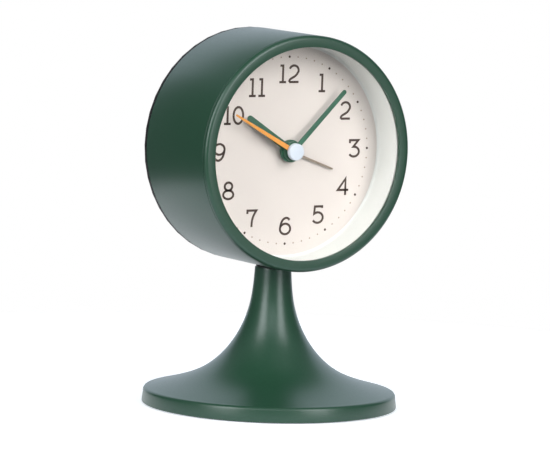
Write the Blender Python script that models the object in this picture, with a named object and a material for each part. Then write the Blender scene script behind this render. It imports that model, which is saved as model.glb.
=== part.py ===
"""Desk alarm clock: a drum on a trumpet pedestal, with its quartz alarm movement inside.

Frame: +Z up, the dial faces -Y, and the origin is the middle of the pad that the clock stands on.
Every length below is in millimetres and every angle in degrees. Dial angles run clockwise from
twelve, as seen from the front. new_object() turns millimetres into Blender's metres.
"""

import math

import bmesh
import bpy

MM = 0.001
GAP = 0.3            # between pieces that touch
FIT = 0.1            # radial clearance of a turning piece
ROUND = 44           # segments of a large turned piece
HIDDEN_ROUND = 28    # segments of a large one that is out of sight
SMALL_ROUND = 16     # segments of a small one

# Driving dimensions
CASE_R = 50.0
AXIS_Z = 110.0       # height of the dial's centre
FRONT_Y = -26.1
BACK_Y = 26.5
CASE_WALL = 1.2

# Front of the case
BEZEL_OPENING_R = 45.1
BEZEL_LIP = 1.6
BEZEL_DEPTH = 2.0    # of the ring that shows in front of the case shell
BEZEL_CORNER = 1.7   # radius of its outer edge
LENS_R = 47.2
LENS_THICKNESS = 1.6
DIAL_FRONT_Y = -8.1
DIAL_THICKNESS = 0.6
DIAL_R = 46.8
RING_INNER_R = 45.7

# Pedestal
NECK_R = 7.6
FOOT_R = 54.4
FOOT_WALL = 1.6
RIM_BOTTOM_Z = 0.5
WEB_BOTTOM_Z = 54.0
BALLAST_R = 51.8
BOLT_R = 2.5
BOLT_HOLE_R = BOLT_R + GAP

# Movement: a box behind the dial. Layers are (front y, back y) of each wheel.
BOX_HALF = 28.0
BOX_WALL = 1.2
PLATE_FRONT = (-5.9, -4.9)
PLATE_MIDDLE = (-0.9, -0.1)
BOX_FRONT_Y = -4.7
BOX_INNER_BACK_Y = 7.0
BOX_BACK_Y = 8.2
MOVEMENT_SCREW_HEAD = (6.5, 7.9)
LAYER_ALARM = (-4.6, -3.7)
LAYER_HOUR = (-3.4, -2.5)
LAYER_MINUTE = (-2.1, -1.2)
LAYER_CENTRE = (0.3, 1.1)
LAYER_THIRD = (1.7, 2.5)
LAYER_SECOND = (3.2, 4.0)
LAYER_TRANSFER = (4.6, 5.3)
ARBOR_R = 0.6
SHAFT_R = 1.2

# Wheels: (teeth of the wheel, teeth of the pinion that meshes with it, distance of their centres)
ALARM_MESH = (32, 8, 13.75)
HOUR_MESH = (32, 8, 9.6)
MINUTE_MESH = (30, 10, 9.6)
CENTRE_MESH = (48, 6, 12.96)
THIRD_MESH = (45, 6, 12.96)
SECOND_MESH = (36, 6, 12.88)
TRANSFER_MESH = (30, 6, 8.4)

# Dial angles at rest, and where each wheel sits round the dial's centre
HOUR_ANGLE = 304.5
MINUTE_ANGLE = 44.5
SECOND_ANGLE = 299.0
ALARM_ANGLE = 110.4
ALARM_SHAFT_ANGLE = 315.0
TIME_SHAFT_ANGLE = 45.0
THIRD_ANGLE = 225.0
TRANSFER_ANGLE = 135.0

# Hands: (front y, back y) of each sheet
ALARM_SHEET = (-9.5, -9.1)
HOUR_SHEET = (-11.5, -11.0)
MINUTE_SHEET = (-13.3, -12.8)
SECOND_SHEET = (-14.1, -13.8)
CAP_R = 3.6
CAP_THICKNESS = 2.0

# Back of the case
COVER_FRONT_Y = 24.4
KNOB_R = 7.2
KNOB_FRONT_Y = 27.3
KNOB_BACK_Y = 33.0
SCREW_CIRCLE_R = 42.0
BATTERY_Y = 17.0
BATTERY_DROP = 26.0  # of the battery below the dial's centre
BATTERY_R = 7.0
BUZZER_RISE = 27.0
SWITCH_X = -31.0
BUTTON_X = 31.0


# ---------------------------------------------------------------- materials

def srgb(red, green, blue):
    """Linear colour of an 8-bit sRGB colour."""
    return [((c / 255 + 0.055) / 1.055) ** 2.4 if c > 10 else c / 255 / 12.92 for c in (red, green, blue)]


def material(name, colour, roughness, metallic=0.0, alpha=1.0):
    made = bpy.data.materials.new(name)
    made.use_nodes = True
    shader = made.node_tree.nodes["Principled BSDF"]
    shader.inputs["Base Color"].default_value = (*colour, 1.0)
    shader.inputs["Roughness"].default_value = roughness
    shader.inputs["Metallic"].default_value = metallic
    shader.inputs["Alpha"].default_value = alpha
    made.diffuse_color = (*colour, alpha)
    return made


def make_materials():
    return {
        "green_paint": material("green_paint", srgb(38, 80, 60), 0.42),
        "green_hand_paint": material("green_hand_paint", srgb(62, 112, 90), 0.4),
        "orange_paint": material("orange_paint", srgb(232, 160, 62), 0.4),
        "dial_paint": material("dial_paint", srgb(238, 230, 218), 0.6),
        "white_plastic": material("white_plastic", srgb(240, 240, 236), 0.35),
        "black_plastic": material("black_plastic", srgb(28, 28, 30), 0.5),
        "clear_lens": material("clear_lens", srgb(250, 252, 252), 0.05, alpha=0.15),
        "natural_nylon": material("natural_nylon", srgb(226, 222, 208), 0.45),
        "steel": material("steel", srgb(190, 190, 192), 0.3, metallic=1.0),
        "brass": material("brass", srgb(200, 165, 90), 0.3, metallic=1.0),
        "copper_wire": material("copper_wire", srgb(184, 98, 52), 0.35, metallic=1.0),
        "satin_metal": material("satin_metal", srgb(150, 142, 132), 0.4, metallic=1.0),
        "magnet": material("magnet", srgb(70, 70, 74), 0.5),
        "circuit_green": material("circuit_green", srgb(30, 96, 60), 0.45),
        "rubber": material("rubber", srgb(30, 30, 30), 0.8),
        "foam": material("foam", srgb(36, 38, 38), 0.95),
        "battery_sleeve": material("battery_sleeve", srgb(70, 78, 92), 0.35),
        "red_wire": material("red_wire", srgb(170, 30, 28), 0.45),
    }


# ------------------------------------------------------------- shape helpers

def dial_point(radius, angle, centre=(0.0, 0.0)):
    """(x, z) at a dial angle round a centre."""
    a = math.radians(angle)
    return centre[0] + radius * math.sin(a), centre[1] + radius * math.cos(a)


def new_object(name, bm, paint, at=(0.0, 0.0, 0.0)):
    """Makes the bmesh, in millimetres, into an object whose origin is at."""
    bmesh.ops.remove_doubles(bm, verts=bm.verts, dist=1e-4)
    bmesh.ops.recalc_face_normals(bm, faces=bm.faces)
    bmesh.ops.scale(bm, vec=(MM, MM, MM), verts=bm.verts)
    mesh = bpy.data.meshes.new(name)
    bm.to_mesh(mesh)
    bm.free()
    mesh.shade_smooth()
    mesh.set_sharp_from_angle(angle=math.radians(35))
    mesh.materials.append(paint)
    obj = bpy.data.objects.new(name, mesh)
    obj.location = [c * MM for c in at]
    bpy.context.scene.collection.objects.link(obj)
    return obj


def tool(obj):
    """Hides an object that only cuts another or joins it."""
    obj.hide_render = True
    obj.display_type = "WIRE"
    return obj


def boolean(obj, other, operation):
    step = obj.modifiers.new(operation.title(), "BOOLEAN")
    step.operation = operation
    step.object = tool(other)
    step.solver = "EXACT"
    return obj


def cut(obj, *others):
    for other in others:
        boolean(obj, other, "DIFFERENCE")
    return obj


def join(obj, *others):
    for other in others:
        boolean(obj, other, "UNION")
    return obj


def turned(name, profile, paint, axis="Y", at=(0.0, 0.0, 0.0), segments=ROUND):
    """A closed profile of (radius, distance along the axis) spun round Y or Z."""
    bm = bmesh.new()
    if axis == "Y":
        verts = [bm.verts.new((0.0, along, radius)) for radius, along in profile]
        direction = (0.0, 1.0, 0.0)
    else:
        verts = [bm.verts.new((radius, 0.0, along)) for radius, along in profile]
        direction = (0.0, 0.0, 1.0)
    edges = []
    for i, (radius, _) in enumerate(profile):
        j = (i + 1) % len(profile)
        if radius > 0 or profile[j][0] > 0:
            edges.append(bm.edges.new((verts[i], verts[j])))
    bmesh.ops.spin(bm, geom=verts + edges, cent=(0, 0, 0), axis=direction,
                   angle=2 * math.pi, steps=segments, use_duplicate=False)
    return new_object(name, bm, paint, at)


def disc(name, radius, start, end, paint, hole=0.0, **place):
    """A plain turned disc, tube or rod from start to end along its axis."""
    if hole:
        profile = [(hole, start), (radius, start), (radius, end), (hole, end)]
    else:
        profile = [(0, start), (radius, start), (radius, end), (0, end)]
    return turned(name, profile, paint, **place)


def prism(name, outline, front, back, paint, at=(0.0, 0.0, 0.0)):
    """An (x, z) outline extruded along Y."""
    bm = bmesh.new()
    face = bm.faces.new([bm.verts.new((x, front, z)) for x, z in outline])
    grown = bmesh.ops.extrude_face_region(bm, geom=[face])
    moved = [v for v in grown["geom"] if isinstance(v, bmesh.types.BMVert)]
    bmesh.ops.translate(bm, verts=moved, vec=(0, back - front, 0))
    return new_object(name, bm, paint, at)


def block(name, size, centre, paint):
    """A box of the given size about a centre."""
    bm = bmesh.new()
    bmesh.ops.create_cube(bm, size=1.0)
    bmesh.ops.scale(bm, vec=size, verts=bm.verts)
    return new_object(name, bm, paint, centre)


def rectangle(half_x, half_z, corner, centre=(0.0, 0.0), steps=3):
    """Outline of a rectangle with round corners."""
    points = []
    for quarter, (sx, sz) in enumerate(((1, 1), (1, -1), (-1, -1), (-1, 1))):
        mid = (centre[0] + sx * (half_x - corner), centre[1] + sz * (half_z - corner))
        for step in range(steps + 1):
            points.append(dial_point(corner, 90 * quarter + 90 * step / steps, mid))
    return points


def wire(name, points, radius, paint, sides=2, smooth=True):
    """A round wire through points, as a curve with filled ends."""
    curve = bpy.data.curves.new(name, "CURVE")
    curve.dimensions = "3D"
    curve.bevel_depth = radius * MM
    curve.bevel_resolution = sides
    curve.use_fill_caps = True
    spline = curve.splines.new("POLY")
    path = smoothed(points, 3) if smooth else points
    spline.points.add(len(path) - 1)
    for target, point in zip(spline.points, path):
        target.co = (*[c * MM for c in point], 1.0)
    curve.materials.append(paint)
    obj = bpy.data.objects.new(name, curve)
    bpy.context.scene.collection.objects.link(obj)
    return obj


def smoothed(points, per_span):
    """Points along the Catmull-Rom curve through the given ones."""
    made = []
    last = len(points) - 1
    for i in range(last):
        p0, p1, p2, p3 = (points[max(0, min(last, i + k))] for k in (-1, 0, 1, 2))
        for step in range(per_span):
            t = step / per_span
            made.append(tuple(
                0.5 * (2 * b + (c - a) * t + (2 * a - 5 * b + 4 * c - d) * t * t
                       + (3 * b - a - 3 * c + d) * t ** 3)
                for a, b, c, d in zip(p0, p1, p2, p3)))
    return made + [tuple(points[-1])]


# -------------------------------------------------------------------- gears

PRESSURE_ANGLE = math.radians(20)
ADDENDUM = 0.78      # in modules
DEDENDUM = 1.15
TOOTH_SHARE = 0.40   # of the pitch, so that meshed teeth have play


def involute(angle):
    return math.tan(angle) - angle


def gear_outline(teeth, module, phase):
    """(x, z) outline of an involute wheel with a tooth's middle at dial angle phase."""
    pitch_r = module * teeth / 2
    base_r = pitch_r * math.cos(PRESSURE_ANGLE)
    tip_r = pitch_r + ADDENDUM * module
    root_r = pitch_r - DEDENDUM * module
    flank_r = max(base_r, root_r + 0.3 * module)
    radii = (root_r, flank_r, tip_r) if teeth <= 20 else (root_r, tip_r)

    def half_tooth(radius):
        at = math.acos(min(1.0, base_r / radius))
        half = math.pi * TOOTH_SHARE / teeth + involute(PRESSURE_ANGLE) - involute(at)
        return math.degrees(half)

    points = []
    for tooth in range(teeth):
        mid = phase + 360 * tooth / teeth
        points += [dial_point(r, mid - half_tooth(r)) for r in radii]
        points += [dial_point(r, mid + half_tooth(r)) for r in reversed(radii)]
    return points


def module_of(mesh):
    wheel, pinion, distance = mesh
    return 2 * distance / (wheel + pinion)


def meshed_phase(phase, teeth, other_teeth, direction):
    """Phase of the wheel that lies in a direction from this one and meshes with it."""
    pitch, other_pitch = 360 / teeth, 360 / other_teeth
    past_tooth = (direction - phase) / pitch
    return direction + 180 - other_pitch * (0.5 - past_tooth)


def gear(name, teeth, module, phase, layer, paint, at=(0.0, 0.0), grow=0.0):
    """A toothed wheel through a layer; grow makes it longer at both faces."""
    return prism(name, gear_outline(teeth, module, phase), layer[0] - grow, layer[1] + grow,
                 paint, (at[0], 0.0, AXIS_Z + at[1]))


def rod(name, radius, start, end, paint, at=(0.0, 0.0), hole=0.0, segments=SMALL_ROUND):
    """A rod or tube along Y at (x, z) from the dial's centre."""
    return disc(name, radius, start, end, paint, hole, at=(at[0], 0.0, AXIS_Z + at[1]), segments=segments)


# ----------------------------------------------------------------- pedestal

def flare_profile():
    """Outer side of the pedestal from the neck down to the edge of the foot, as (radius, z)."""
    flare = smoothed([(NECK_R, 62.0), (8.0, 55.0), (9.4, 44.0), (12.8, 33.8), (18.6, 24.3), (28.0, 15.7),
                      (40.0, 10.4), (52.0, 7.0)], 2)
    corner = [(FOOT_R - 1.9 + 1.3 * math.sin(a), 5.3 + 1.4 * math.cos(a))
              for a in (math.radians(d) for d in (40, 90))]
    return flare + corner + [(FOOT_R, RIM_BOTTOM_Z + 0.4), (FOOT_R - 0.4, RIM_BOTTOM_Z)]


def make_pedestal(paints):
    wall_r = FOOT_R - FOOT_WALL
    hollow = [(wall_r, RIM_BOTTOM_Z), (wall_r - 0.2, 4.5), (40.0, 8.4), (28.0, 13.5), (17.4, 22.6), (11.2, 33.4),
              (7.8, 43.8), (5.6, WEB_BOTTOM_Z)]
    web_hole = [(BOLT_HOLE_R, WEB_BOTTOM_Z), (BOLT_HOLE_R, 62.0)]
    pedestal = turned("pedestal", flare_profile() + hollow + web_hole, paints["green_paint"], axis="Z")
    cut(pedestal, disc("saddle_cutter", CASE_R + 0.9, -15, 15, paints["rubber"], at=(0, 0, AXIS_Z), segments=96))

    gasket = disc("saddle_gasket", NECK_R - 0.3, 58.5, 62.5, paints["rubber"], BOLT_HOLE_R,
                  axis="Z", segments=24)
    boolean(gasket, disc("gasket_under", CASE_R + 0.65, -15, 15, paints["rubber"],
                         at=(0, 0, AXIS_Z), segments=96), "INTERSECT")
    cut(gasket, disc("gasket_over", CASE_R + 0.2, -16, 16, paints["rubber"], at=(0, 0, AXIS_Z), segments=96))

    disc("base_pad", BALLAST_R, 0.0, 1.4, paints["foam"], axis="Z")
    washer_r, recess_top = 6.0, 4.0
    ballast = [(BOLT_HOLE_R, recess_top), (washer_r + 0.6, recess_top), (washer_r + 0.6, 1.7), (BALLAST_R, 1.7),
               (BALLAST_R, 3.9), (42.0, 6.6), (BOLT_HOLE_R, 6.6)]
    turned("ballast_plate", ballast, paints["steel"], axis="Z", segments=HIDDEN_ROUND)
    disc("tie_washer", washer_r, 3.2, 3.7, paints["steel"], BOLT_HOLE_R, axis="Z", segments=SMALL_ROUND)
    bolt = turned("tie_bolt", [(0, 1.7), (4.4, 1.7), (4.4, 2.9), (BOLT_R, 2.9), (BOLT_R, 69.0),
                               (BOLT_R - 0.6, 69.6), (0, 69.6)],
                  paints["steel"], axis="Z", segments=SMALL_ROUND)
    cut(bolt, disc("bolt_socket", 2.0, 1.0, 2.5, paints["steel"], axis="Z", segments=6))
    nut = disc("tie_nut", 4.6, 61.7, 65.7, paints["steel"], axis="Z", segments=6)
    cut(nut, disc("tie_nut_bore", BOLT_HOLE_R, 60, 68, paints["steel"], axis="Z", segments=SMALL_ROUND))


# --------------------------------------------------------------------- case

def make_case(paints):
    shell_front = FRONT_Y + BEZEL_DEPTH + GAP
    inner = CASE_R - CASE_WALL
    shell = turned("case_shell", [(inner, shell_front), (CASE_R - 0.3, shell_front), (CASE_R, shell_front + 0.3),
                                  (CASE_R, COVER_FRONT_Y - GAP), (inner, COVER_FRONT_Y - GAP)],
                   paints["green_paint"], at=(0, 0, AXIS_Z))
    cut(shell, disc("shell_bolt_hole", BOLT_HOLE_R, 58, 64, paints["steel"], axis="Z", segments=16))

    lip_back = FRONT_Y + BEZEL_LIP
    skirt_r = inner - GAP
    profile = [(BEZEL_OPENING_R, FRONT_Y + 0.3), (BEZEL_OPENING_R + 0.3, FRONT_Y)]
    profile += [(CASE_R - BEZEL_CORNER * (1 - math.sin(a)), FRONT_Y + BEZEL_CORNER * (1 - math.cos(a)))
                for a in (math.radians(d) for d in (0, 30, 60, 90))]
    profile += [(CASE_R, FRONT_Y + BEZEL_DEPTH), (skirt_r, FRONT_Y + BEZEL_DEPTH), (skirt_r, FRONT_Y + 5.0),
                (LENS_R + GAP, FRONT_Y + 5.0), (LENS_R + GAP, lip_back), (BEZEL_OPENING_R, lip_back)]
    turned("bezel", profile, paints["green_paint"], at=(0, 0, AXIS_Z))

    lens_front = lip_back + 0.1
    lens_back = lens_front + LENS_THICKNESS
    disc("lens", LENS_R, lens_front, lens_back, paints["clear_lens"], at=(0, 0, AXIS_Z))
    ring_front = lens_back + 0.1
    turned("reflector_ring", [(RING_INNER_R, ring_front), (DIAL_R + 0.2, ring_front),
                              (DIAL_R + 0.2, DIAL_FRONT_Y - 0.1), (RING_INNER_R, DIAL_FRONT_Y - 0.1)],
           paints["white_plastic"], at=(0, 0, AXIS_Z))
    disc("dial", DIAL_R, DIAL_FRONT_Y, DIAL_FRONT_Y + DIAL_THICKNESS, paints["dial_paint"], 3.0,
         at=(0, 0, AXIS_Z))


def screw_places():
    """(x, z) from the dial's centre of the three screws that hold the back cover."""
    return [dial_point(SCREW_CIRCLE_R, 120 * i) for i in range(3)]


def movement_screw_places():
    return [(-24.2, 24.2), (24.2, -24.2)]


def make_carrier(paints):
    """The plate that backs the dial, with posts for the cover's screws and the movement's."""
    front = DIAL_FRONT_Y + DIAL_THICKNESS + 0.1
    back = front + 1.2
    nylon = paints["white_plastic"]
    carrier = disc("dial_carrier", 48.2, front, back, nylon, 6.5, at=(0, 0, AXIS_Z),
                   segments=HIDDEN_ROUND)
    for i, place in enumerate(screw_places()):
        join(carrier, rod(f"carrier_post_{i}", 3.2, back - 0.6, 22.0, nylon, place, segments=14))
        cut(carrier, rod(f"carrier_pilot_{i}", 1.3, 12.0, 23.0, nylon, place, segments=12))
    for i, place in enumerate(movement_screw_places()):
        cut(carrier, rod(f"carrier_screw_hole_{i}", 1.1, front - 1, back + 1, nylon, place, segments=12))


# ----------------------------------------------------------------- movement

def wheel_places():
    """(x, z) from the dial's centre of every wheel that isn't on the centre."""
    places = {
        "alarm_shaft": dial_point(ALARM_MESH[2], ALARM_SHAFT_ANGLE),
        "time_shaft": dial_point(ALARM_MESH[2], TIME_SHAFT_ANGLE),
        "third": dial_point(THIRD_MESH[2], THIRD_ANGLE),
        "transfer": dial_point(SECOND_MESH[2], TRANSFER_ANGLE),
    }
    # The minute wheel meshes with the cannon pinion and with the time shaft, at one distance from both.
    swing = math.degrees(math.acos(ALARM_MESH[2] / 2 / MINUTE_MESH[2]))
    places["minute"] = dial_point(MINUTE_MESH[2], TIME_SHAFT_ANGLE + swing)
    places["rotor"] = dial_point(TRANSFER_MESH[2], 90, places["transfer"])
    return places


def direction_of(start, end):
    return math.degrees(math.atan2(end[0] - start[0], end[1] - start[1]))


def make_movement_box(paints, places):
    black, nylon = paints["black_plastic"], paints["natural_nylon"]
    front_plate = prism("movement_front_plate", rectangle(BOX_HALF, BOX_HALF, 2.5), *PLATE_FRONT, black,
                        (0, 0, AXIS_Z))
    holes = {"centre": ((0.0, 0.0), 2.8), "time": (places["time_shaft"], 0.8), "alarm": (places["alarm_shaft"], 0.8)}
    for name, (place, radius) in holes.items():
        cut(front_plate, rod(f"front_hole_{name}", radius, -7, -4, black, place, segments=16))
    for i, place in enumerate(movement_screw_places()):
        cut(front_plate, rod(f"front_screw_hole_{i}", 1.1, -7, -4, black, place, segments=12))

    plate_half = BOX_HALF - BOX_WALL - 0.3
    middle = prism("movement_middle_plate", rectangle(plate_half, plate_half, 1.5), *PLATE_MIDDLE, nylon,
                   (0, 0, AXIS_Z))
    join(middle, rod("minute_post", ARBOR_R, -3.6, -0.5, nylon, places["minute"], segments=12))
    pivots = {"third": ARBOR_R + FIT, "transfer": ARBOR_R + FIT, "rotor": ARBOR_R + FIT,
              "time_shaft": SHAFT_R + FIT, "alarm_shaft": SHAFT_R + FIT}
    for name, radius in pivots.items():
        cut(middle, rod(f"middle_hole_{name}", radius, -1.5, 0.5, nylon, places[name], segments=12))
    cut(middle, rod("middle_hole_centre", 1.5, -1.5, 0.5, nylon, segments=16))
    for i, place in enumerate(movement_screw_places()):
        cut(middle, rod(f"middle_notch_{i}", 3.8, -1.5, 0.5, nylon, place, segments=16))

    box = prism("movement_housing", rectangle(BOX_HALF, BOX_HALF, 2.5), BOX_FRONT_Y, BOX_BACK_Y, black,
                (0, 0, AXIS_Z))
    inner_half = BOX_HALF - BOX_WALL
    cut(box, prism("housing_hollow", rectangle(inner_half, inner_half, 1.5), BOX_FRONT_Y - 1, BOX_INNER_BACK_Y,
                   black, (0, 0, AXIS_Z)))
    for i, place in enumerate(movement_screw_places()):
        join(box, rod(f"housing_column_{i}", 3.4, BOX_FRONT_Y, BOX_INNER_BACK_Y + 0.5, black, place))
        cut(box, rod(f"housing_screw_hole_{i}", 1.2, BOX_FRONT_Y - 1, BOX_BACK_Y + 1, black, place, segments=12),
            rod(f"housing_recess_{i}", 2.5, MOVEMENT_SCREW_HEAD[0] - 0.1, BOX_BACK_Y + 1, black, place))
    for name in ("time_shaft", "alarm_shaft"):
        cut(box, rod(f"housing_hole_{name}", SHAFT_R + FIT, 6, 9, black, places[name], segments=16))
    for name in ("third", "transfer", "rotor"):
        cut(box, rod(f"housing_pivot_{name}", ARBOR_R + FIT, 6, 7.8, black, places[name], segments=12))
    cut(box, rod("housing_pivot_second", ARBOR_R + FIT, 6, 7.8, black, segments=12))


def make_motion_work(paints, places):
    """Alarm, hour and minute wheels in front of the middle plate, and the two setting shafts."""
    nylon = paints["natural_nylon"]
    alarm_phase = ALARM_ANGLE
    alarm = gear("alarm_wheel", ALARM_MESH[0], module_of(ALARM_MESH), alarm_phase, LAYER_ALARM, nylon)
    join(alarm, rod("alarm_tube", 2.7, ALARM_SHEET[0] - 0.1, LAYER_ALARM[0] + 0.4, nylon))
    cut(alarm, rod("alarm_bore", 2.0, ALARM_SHEET[0] - 1, LAYER_ALARM[1] + 1, nylon))

    hour_phase = HOUR_ANGLE
    hour = gear("hour_wheel", HOUR_MESH[0], module_of(HOUR_MESH), hour_phase, LAYER_HOUR, nylon)
    join(hour, rod("hour_tube", 1.9, HOUR_SHEET[0] - 0.2, LAYER_HOUR[0] + 0.4, nylon))
    cut(hour, rod("hour_bore", 1.3, HOUR_SHEET[0] - 1, LAYER_HOUR[1] + 1, nylon))

    cannon_phase = MINUTE_ANGLE
    cannon = gear("cannon_pinion", MINUTE_MESH[1], module_of(MINUTE_MESH), cannon_phase, LAYER_MINUTE,
                  paints["brass"], grow=0.1)
    join(cannon, rod("cannon_tube", SHAFT_R, MINUTE_SHEET[0] - 0.25, 1.4, paints["brass"]))
    cut(cannon, rod("cannon_bore", 0.72, MINUTE_SHEET[0] - 1, 2, paints["brass"]))

    outward = direction_of((0, 0), places["minute"])
    wheel_phase = meshed_phase(cannon_phase, MINUTE_MESH[1], MINUTE_MESH[0], outward)
    pinion_phase = meshed_phase(hour_phase, HOUR_MESH[0], HOUR_MESH[1], outward)
    minute = gear("minute_wheel", MINUTE_MESH[0], module_of(MINUTE_MESH), wheel_phase, LAYER_MINUTE, nylon,
                  places["minute"])
    join(minute, gear("minute_pinion", HOUR_MESH[1], module_of(HOUR_MESH), pinion_phase, (-3.5, -1.6), nylon,
                      places["minute"]))
    cut(minute, rod("minute_bore", ARBOR_R + FIT, -4, 0, nylon, places["minute"], segments=16))

    to_time = direction_of(places["minute"], places["time_shaft"])
    time_phase = meshed_phase(wheel_phase, MINUTE_MESH[0], MINUTE_MESH[1], to_time)
    alarm_pinion_phase = meshed_phase(alarm_phase, ALARM_MESH[0], ALARM_MESH[1], ALARM_SHAFT_ANGLE)
    make_shaft("time_shaft", places["time_shaft"], MINUTE_MESH, time_phase, LAYER_MINUTE, nylon)
    make_shaft("alarm_shaft", places["alarm_shaft"], ALARM_MESH, alarm_pinion_phase, LAYER_ALARM, nylon)


def make_shaft(name, place, mesh, phase, layer, nylon):
    """A setting shaft: pinion at the front, pivot in the front plate, end in the knob."""
    shaft = gear(name, mesh[1], module_of(mesh), phase, layer, nylon, place, grow=0.1)
    join(shaft, rod(f"{name}_rod", SHAFT_R, PLATE_FRONT[1] + 0.1, KNOB_BACK_Y - 2.0, nylon, place),
         rod(f"{name}_pivot", 0.7, PLATE_FRONT[0] + 0.2, PLATE_FRONT[1] + 0.5, nylon, place, segments=12))


def make_going_train(paints, places):
    """From the stepping rotor to the centre wheel, behind the middle plate."""
    nylon = paints["natural_nylon"]
    centre_phase = 0.0
    centre = gear("centre_wheel", CENTRE_MESH[0], module_of(CENTRE_MESH), centre_phase, LAYER_CENTRE, nylon)
    cut(centre, rod("centre_bore", SHAFT_R + FIT, -1, 2, nylon))

    third_place = places["third"]
    third_pinion_phase = meshed_phase(centre_phase, CENTRE_MESH[0], CENTRE_MESH[1], THIRD_ANGLE)
    third_phase = 0.0
    third = gear("third_wheel", THIRD_MESH[0], module_of(THIRD_MESH), third_phase, LAYER_THIRD, nylon, third_place)
    join(third, gear("third_pinion", CENTRE_MESH[1], module_of(CENTRE_MESH), third_pinion_phase, (0.15, 2.0),
                     nylon, third_place),
         rod("third_arbor", ARBOR_R, -0.7, 7.6, nylon, third_place, segments=12))

    second_pinion_phase = meshed_phase(third_phase, THIRD_MESH[0], THIRD_MESH[1], THIRD_ANGLE + 180)
    second_phase = SECOND_ANGLE
    second = gear("second_wheel", SECOND_MESH[0], module_of(SECOND_MESH), second_phase, LAYER_SECOND, nylon)
    join(second, gear("second_pinion", THIRD_MESH[1], module_of(THIRD_MESH), second_pinion_phase, (1.55, 3.6),
                      nylon),
         rod("second_arbor", ARBOR_R, SECOND_SHEET[0] - 0.7, 7.6, nylon, segments=12))

    transfer_place = places["transfer"]
    transfer_pinion_phase = meshed_phase(second_phase, SECOND_MESH[0], SECOND_MESH[1], TRANSFER_ANGLE)
    transfer_phase = 0.0
    transfer = gear("transfer_wheel", TRANSFER_MESH[0], module_of(TRANSFER_MESH), transfer_phase, LAYER_TRANSFER,
                    nylon, transfer_place)
    join(transfer, gear("transfer_pinion", SECOND_MESH[1], module_of(SECOND_MESH), transfer_pinion_phase,
                        (3.0, 5.0), nylon, transfer_place),
         rod("transfer_arbor", ARBOR_R, -0.7, 7.6, nylon, transfer_place, segments=12))

    rotor_place = places["rotor"]
    to_rotor = direction_of(transfer_place, rotor_place)
    rotor_phase = meshed_phase(transfer_phase, TRANSFER_MESH[0], TRANSFER_MESH[1], to_rotor)
    rotor = rod("rotor", 3.0, 0.4, 3.8, paints["magnet"], rotor_place)
    join(rotor, gear("rotor_pinion", TRANSFER_MESH[1], module_of(TRANSFER_MESH), rotor_phase, (3.5, 5.5),
                     paints["magnet"], rotor_place),
         rod("rotor_arbor", ARBOR_R, -0.7, 7.6, paints["magnet"], rotor_place, segments=12))


def make_motor(paints, places):
    """Stator, coil and circuit of the stepping motor."""
    left, right, leg, bottom, top = 13.0, 26.2, 2.4, places["rotor"][1] - 4.5, 25.2
    outline = [(left, bottom), (right, bottom), (right, bottom + 9.0), (left + leg, bottom + 9.0),
               (left + leg, top - 3.0), (right, top - 3.0), (right, top), (left, top)]
    stator = prism("stator", outline, 1.4, 2.4, paints["steel"], (0, 0, AXIS_Z))
    cut(stator, rod("stator_hole", 3.4, 1, 3, paints["steel"], places["rotor"]))
    core_x = 23.4
    block("coil_core", (2.6, 1.0, 33.0), (core_x, 3.0, AXIS_Z + top - 17.0), paints["steel"])
    coil_z = (bottom + 9.6, top - 3.6)
    flange = 0.8
    profile = [(1.9, coil_z[0]), (2.45, coil_z[0]), (2.45, coil_z[0] + flange), (2.25, coil_z[0] + flange),
               (2.25, coil_z[1] - flange), (2.45, coil_z[1] - flange), (2.45, coil_z[1]), (1.9, coil_z[1])]
    turned("coil", profile, paints["copper_wire"], axis="Z", at=(core_x, 3.0, AXIS_Z), segments=16)
    board = prism("circuit_board", rectangle(15.0, 4.4, 0.6, (-5.5, 21.6), steps=1), 5.9, 6.7,
                  paints["circuit_green"], (0, 0, AXIS_Z))
    join(board, rod("chip_blob", 2.6, 5.0, 6.2, paints["circuit_green"], (-1.0, 21.6), segments=12))
    crystal = block("quartz_crystal", (6.2, 2.0, 2.0), (-12.0, 4.7, AXIS_Z + 21.6), paints["steel"])
    bevel = crystal.modifiers.new("Bevel", "BEVEL")
    bevel.width = 0.6 * MM
    bevel.segments = 1


def make_screw(name, place, head_r, head, shank_r, tip, paint):
    """A slotted pan-head screw driven in from behind: head is (front y, back y) and tip the shank's end."""
    crown = head[1] - 0.5
    profile = [(0, tip), (shank_r, tip + 0.6), (shank_r, head[0]), (head_r, head[0]), (head_r, crown),
               (head_r - 0.6, head[1]), (0, head[1])]
    screw = turned(name, profile, paint, at=(place[0], 0, AXIS_Z + place[1]), segments=12)
    return cut(screw, block(f"{name}_slot", (0.7, 1.4, 3 * head_r), (place[0], head[1], AXIS_Z + place[1]), paint))


# -------------------------------------------------------------------- hands

def hand_outline(root_half, tip_half, length):
    """A tapered baton that points to +Z, with a round end."""
    tip = [dial_point(tip_half, a, (0.0, length - tip_half)) for a in range(-90, 91, 36)]
    return [(-root_half, 0.0)] + tip + [(root_half, 0.0)]


def turn_outline(outline, angle):
    return [dial_point(math.hypot(x, z), math.degrees(math.atan2(x, z)) + angle) for x, z in outline]


def make_hand(name, angle, outline, sheet, boss, bore, paint):
    """A hand with its boss, (radius, front y, back y), and a bore for its tube."""
    hand = prism(name, turn_outline(outline, angle), *sheet, paint, (0, 0, AXIS_Z))
    join(hand, rod(f"{name}_boss", *boss, paint, segments=24))
    cut(hand, rod(f"{name}_bore", bore, boss[1] - 1, boss[2] + 1, paint, segments=SMALL_ROUND))


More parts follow.
